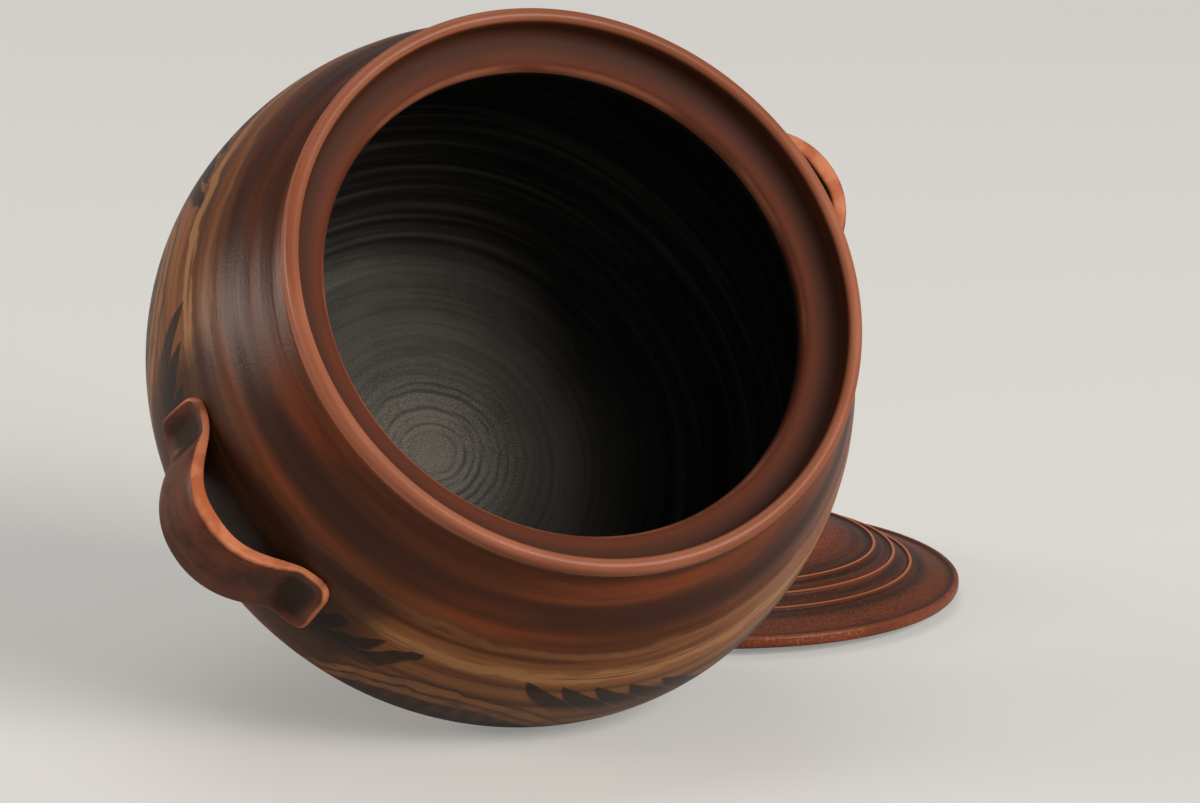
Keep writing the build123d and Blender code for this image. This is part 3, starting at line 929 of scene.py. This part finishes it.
def strap_heights(s):
    """How far a strap's outer and inner faces stand off the wall at the length s along it.
    The outer one is p + (g + t - p) (f + sqrt(f^2 + c)) / 2 with f = 1 - |s / a|^m, and the
    inner one g e - k (1 - e) with e = exp(-|s / b|^n), for the gap g, the strap's thickness
    t, the pads' thickness p and sink k, and the bow's reaches a and b, powers m and n and
    softness c."""
    arch = 1 - np.abs(s / BOW_OUTER_REACH) ** BOW_OUTER_POWER
    outer_bow = (arch + np.sqrt(arch ** 2 + BOW_SOFTNESS)) / 2
    inner_bow = np.exp(-np.abs(s / BOW_INNER_REACH) ** BOW_INNER_POWER)
    outer = PAD_THICKNESS + (BOW_GAP + STRAP_THICKNESS - PAD_THICKNESS) * outer_bow
    return outer, BOW_GAP * inner_bow - PAD_SINK * (1 - inner_bow)


def strap_wear(piece, s, across, edge, hollow):
    """Where a strap is worn and where it is hollow, for the painted shade in its hollows, as numbers
    on its mesh.
    It is worn on its sides, most on the bow, round the rim of its ends and in a line just inside
    them."""
    on_bow = ramp(WORN_BOW_REACH - np.abs(s), WORN_BOW_FADE)[:, None]
    sides = np.abs(across) ** WORN_SIDE_POWER
    from_line = (np.abs(s) - HANDLE_SPAN / 2 + WORN_END_INSET) / WORN_END_WIDTH
    worn = sides * (WORN_SIDE_SHARE + (1 - WORN_SIDE_SHARE) * on_bow)
    worn = worn + WORN_RIM_SHARE * edge[:, None] + WORN_END_SHARE * np.exp(-from_line ** 2)[:, None]
    for label, values in (("worn", worn), ("hollow", hollow)):
        layer = piece.data.attributes.new(label, "FLOAT", "POINT")
        layer.data.foreach_set("value", np.append(values.ravel(), (0.0, 0.0)).astype(np.float32))


def strap_handle(name, node, turn, clay):
    """A strap from pad to pad. Round each place s along the wall its section is the rounded
    oblong (w |cos v|^m, h |sin v|^n) with the signs of cos v and sin v. Both w and h draw
    in at the ends, so the pads end as rounded squares, and a thumb has pressed an oval in
    each. The wall leans outwards at the handles' depth, and the strap leans with it."""
    reach = HANDLE_SPAN / 2
    s = -reach * np.cos(np.linspace(0.0, np.pi, STRAP_ROWS + 2)[1:-1])
    v = np.linspace(0, 2 * np.pi, STRAP_COLUMNS, endpoint=False)
    corner = np.clip(np.abs(s) - reach + PAD_END_ROUND, 0, PAD_END_ROUND)
    half_width = STRAP_WIDTH / 2 - PAD_END_ROUND + np.sqrt(PAD_END_ROUND ** 2 - corner ** 2)
    edge = 1 - ramp(reach - np.abs(s), PAD_THICKNESS / 2)
    outer, inner = strap_heights(s)
    half_height = (outer - inner) / 2 * np.sqrt(1 - edge ** 2)
    across = signed_power(np.cos(v), STRAP_SIDE_POWER)
    out = signed_power(np.sin(v), STRAP_FACE_POWER)
    down = half_width[:, None] * across
    from_thumb = (np.abs(s) - THUMB_PLACE) / THUMB_HALF_WIDTH
    thumb = np.exp(-(from_thumb ** THUMB_POWER)[:, None]
                   - (down / THUMB_HALF_LENGTH) ** THUMB_POWER)
    rise = (outer + inner)[:, None] / 2 + half_height[:, None] * out
    rise = rise - np.where(out > 0, THUMB_DEPTH * thumb * out, 0)
    lean = float(np.arcsin((BELLY_DEPTH - HANDLE_DEPTH) / SHOULDER_ARC_RADIUS))
    at_wall = HANDLE_DEPTH + down * np.cos(lean)
    depth = at_wall - rise * np.sin(lean)
    radius = wall_radius(at_wall) + rise * np.cos(lean)
    angle = np.radians(turn) + s[:, None] / wall_radius(HANDLE_DEPTH)
    grid = np.stack((radius * np.cos(angle), radius * np.sin(angle), POT_HEIGHT - depth), -1)
    points = np.vstack((grid.reshape(-1, 3), grid[[0, -1]].mean(axis=1)))
    faces = tube_faces(STRAP_ROWS, STRAP_COLUMNS)
    piece = mesh_piece(name, points, faces, POT_ORIGIN, POT_AXES, (clay,))
    strap_wear(piece, s, across, edge, thumb * (out > 0))
    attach(piece, "pot")
    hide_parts(node)


def lid_dome(radius, start, end):
    """Height of an arc that is level over the axis at the end height and comes down to
    the start point, written as the circle through both."""
    run, fall = start[0], end - start[1]
    size = (run ** 2 + fall ** 2) / (2 * fall)
    return end - size + np.sqrt(size ** 2 - radius ** 2)


def lid_ridges():
    """Corners of the lid's top from the crease at its rim inwards over the three ridges."""
    corners = [(LID_CREASE_RADIUS, LID_CREASE_HEIGHT),
               (LID_CREASE_RADIUS - RIM_GROOVE_WIDTH, LID_CREASE_HEIGHT - RIM_GROOVE_DEPTH)]
    for radius_share, rise_share in zip(RIDGE_RADIUS_SHARES, RIDGE_RISE_SHARES):
        radius = LID_RADIUS * radius_share
        crest = LID_CREASE_HEIGHT + LID_MIDDLE_RISE * rise_share
        corners += [(radius + RIDGE_WIDTH / 2, crest - RIDGE_STEP),
                    (radius + RIDGE_WIDTH / 2, crest),
                    (radius - RIDGE_WIDTH / 2, crest),
                    (radius - RIDGE_WIDTH, crest - RIDGE_STEP / 2)]
    return corners


def lid_profile():
    """The lid's half section from the middle of its underside, out along the hollow, round
    the ring and the edge and back over the three ridges to the middle of its top."""
    top = lid_ridges()
    top_middle = LID_CREASE_HEIGHT + LID_MIDDLE_RISE
    ring_inside = LID_RING_RADIUS - LID_RING_WIDTH
    ridge_inset = LID_CREASE_RADIUS - LID_RADIUS * RIDGE_RADIUS_SHARES[0]
    run_share = (LID_CREASE_RADIUS - ring_inside) / ridge_inset
    soffit = LID_CREASE_HEIGHT + LID_MIDDLE_RISE * RIDGE_RISE_SHARES[0] * run_share - LID_WALL
    radius = np.linspace(0, ring_inside, HOLLOW_ROWS)
    hollow = np.column_stack((radius, lid_dome(radius, (ring_inside, soffit), top_middle - LID_WALL)))
    radius = np.linspace(top[-1][0], 0, DOME_ROWS)
    dome = np.column_stack((radius, lid_dome(radius, top[-1], top_middle)))
    edge = rounded(
        [hollow[-1], (ring_inside, 0), (LID_RING_RADIUS, 0), (LID_RING_RADIUS, LID_RING_DEPTH),
         (LID_RADIUS, LID_RING_DEPTH), (LID_RADIUS, LID_CREASE_HEIGHT)] + top,
        [LID_RING_ROUND] * 3 + [LID_EDGE_ROUND, LID_EDGE_ROUND / 2]
        + [RIDGE_WIDTH * RIDGE_ROUND_SHARE] * (len(top) - 1), LID_ROUND_ROWS)
    return np.vstack((hollow[:-1], spaced(edge, LID_STEP)[:-1], dome))


def lid_disc(clay):
    """The thrown lid with its ridges."""
    piece = turned("ridged_lid", lid_profile(), LID_COLUMNS, LID_ORIGIN, LID_AXES, (clay,))
    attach(piece, "lid")
    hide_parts("lid_disc")


def lid_knob(clay):
    """The turned knob, with its foot spread a little where it is luted on."""
    foot = LID_CREASE_HEIGHT + LID_MIDDLE_RISE - KNOB_SINK
    top = LID_CREASE_HEIGHT + LID_MIDDLE_RISE + KNOB_HEIGHT
    head = top - KNOB_HEAD_THICKNESS
    profile = rounded(
        ((0, foot), (KNOB_FOOT_RADIUS, foot), (KNOB_NECK_RADIUS, head - KNOB_ROUND),
         (KNOB_RADIUS, head), (KNOB_RADIUS, top - KNOB_ROUND), (0, top)),
        (KNOB_FOOT_ROUND, KNOB_ROUND, KNOB_ROUND, KNOB_ROUND * KNOB_TOP_ROUND_SHARE),
        FINE_ROUND_ROWS)
    piece = turned("turned_knob", spaced(profile, LID_STEP), KNOB_COLUMNS, LID_ORIGIN, LID_AXES,
                   (clay,))
    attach(piece, "lid")
    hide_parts("lid_knob")


# Floor, light and camera.
def pale_floor():
    """A wide flat floor at the table's height."""
    half = FLOOR_HALF_WIDTH
    mesh = bpy.data.meshes.new("floor")
    mesh.from_pydata([(-half, -half, 0), (half, -half, 0), (half, half, 0), (-half, half, 0)], [],
                     [(0, 1, 2, 3)])
    mesh.materials.append(table_top())
    added("floor", mesh)


def look_along(ahead, roll=0.0):
    """The directions to the right, up and ahead of something that faces ahead, rolled."""
    ahead = ahead / np.linalg.norm(ahead)
    side = np.cross(ahead, (0, 0, 1))
    side /= np.linalg.norm(side)
    up = np.cross(side, ahead)
    turn = np.radians(roll)
    side, up = side * np.cos(turn) + up * np.sin(turn), up * np.cos(turn) - side * np.sin(turn)
    return side, up, ahead


def stand(thing, place, side, up, ahead):
    """Places a lamp or camera with its right, up and viewing directions."""
    rows = np.eye(4)
    rows[:3, 0], rows[:3, 1], rows[:3, 2], rows[:3, 3] = side, up, -ahead, place
    thing.matrix_world = Matrix(rows.tolist())


def soft_lamp(name, direction, distance, size, power, tint):
    """A soft oblong lamp that shines at the pot from a direction."""
    light = bpy.data.lights.new(name, "AREA")
    light.shape = "RECTANGLE"
    light.size, light.size_y = size
    light.energy = power
    light.color = tint
    direction = np.array(direction) / np.linalg.norm(direction)
    stand(added(name, light), np.array(LAMP_TARGET) + direction * distance,
          *look_along(-direction))


def studio():
    """A window from the left, a lamp over the camera's right shoulder that lights the
    inside, a wide lamp above, and a dim room that looks pale from the camera."""
    for lamp in LAMPS:
        soft_lamp(*lamp)
    world = bpy.data.worlds.new("room")
    world.use_nodes = True
    nodes, links = world.node_tree.nodes, world.node_tree.links
    background = nodes["Background"]
    path = nodes.new("ShaderNodeLightPath")
    tone = nodes.new("ShaderNodeMix")
    tone.data_type = "RGBA"
    tone.inputs[6].default_value = ROOM_LIGHT
    tone.inputs[7].default_value = shade(232, 232, 230)
    links.new(path.outputs["Is Camera Ray"], tone.inputs[0])
    links.new(tone.outputs[2], background.inputs["Color"])
    bpy.context.scene.world = world
    bpy.context.scene.view_settings.view_transform = "Standard"


def photo_camera():
    """The camera at the photograph's angle, placed from where the mouth's middle shows."""
    azimuth, elevation = np.radians(CAMERA_AZIMUTH), np.radians(CAMERA_ELEVATION)
    ahead = np.array((-np.sin(azimuth) * np.cos(elevation), np.cos(azimuth) * np.cos(elevation),
                      -np.sin(elevation)))
    side, up, ahead = look_along(ahead, CAMERA_ROLL)
    mouth = POT_ORIGIN + POT_AXES[2] * POT_HEIGHT
    place = mouth - MOUTH_DISTANCE * (ahead + side * MOUTH_RIGHT_PIXELS / FOCAL_PIXELS
                                      + up * MOUTH_UP_PIXELS / FOCAL_PIXELS)
    lens = bpy.data.cameras.new("camera")
    lens.sensor_width = SENSOR_WIDTH
    lens.lens = FOCAL_PIXELS / PHOTO_WIDTH_PIXELS * SENSOR_WIDTH
    camera = added("camera", lens)
    stand(camera, place, side, up, ahead)
    bpy.context.scene.camera = camera


def build():
    """Makes every piece, the floor, the light and the camera."""
    strap_clay = handle_clay()
    cover_clay = lid_clay()
    pot_body()
    strap_handle("right_strap", "handle_right", HANDLE_TURN, strap_clay)
    strap_handle("left_strap", "handle_left", LEFT_HANDLE_TURN, strap_clay)
    lid_disc(cover_clay)
    lid_knob(cover_clay)
    pale_floor()
    studio()
    photo_camera()


build()
